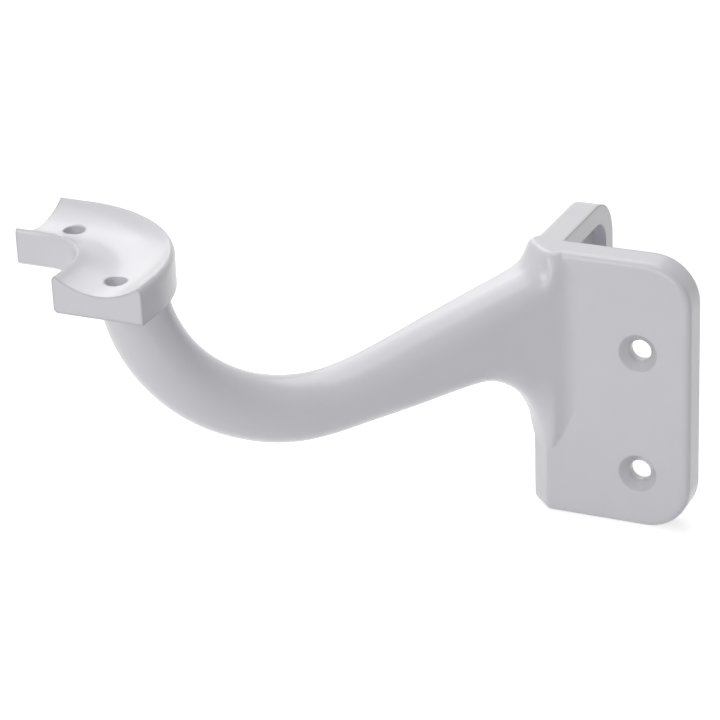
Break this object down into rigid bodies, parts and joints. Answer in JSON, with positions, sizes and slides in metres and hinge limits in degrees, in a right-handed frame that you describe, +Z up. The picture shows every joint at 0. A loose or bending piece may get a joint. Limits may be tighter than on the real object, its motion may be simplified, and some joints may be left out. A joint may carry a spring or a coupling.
{
  "type": "corner handrail bracket",
  "caption": "Cast corner bracket: an L-shaped plate wraps a post's corner and a gooseneck arm carries a quarter-elbow saddle for a round handrail.",
  "frame": {"origin": "inner corner of the L-shaped plate at its foot, where the post's corner edge lies", "axes": "+Z up, +X along the near wing away from the corner, +Y along the far wing away from the corner"},
  "size_m": [0.1511, 0.1511, 0.0993],
  "materials": {
    "white_coat": "smooth semi-gloss white powder coat on a casting"
  },
  "bodies": {
    "root": {"bracket_casting": "white_coat"}
  },
  "joints": []
}
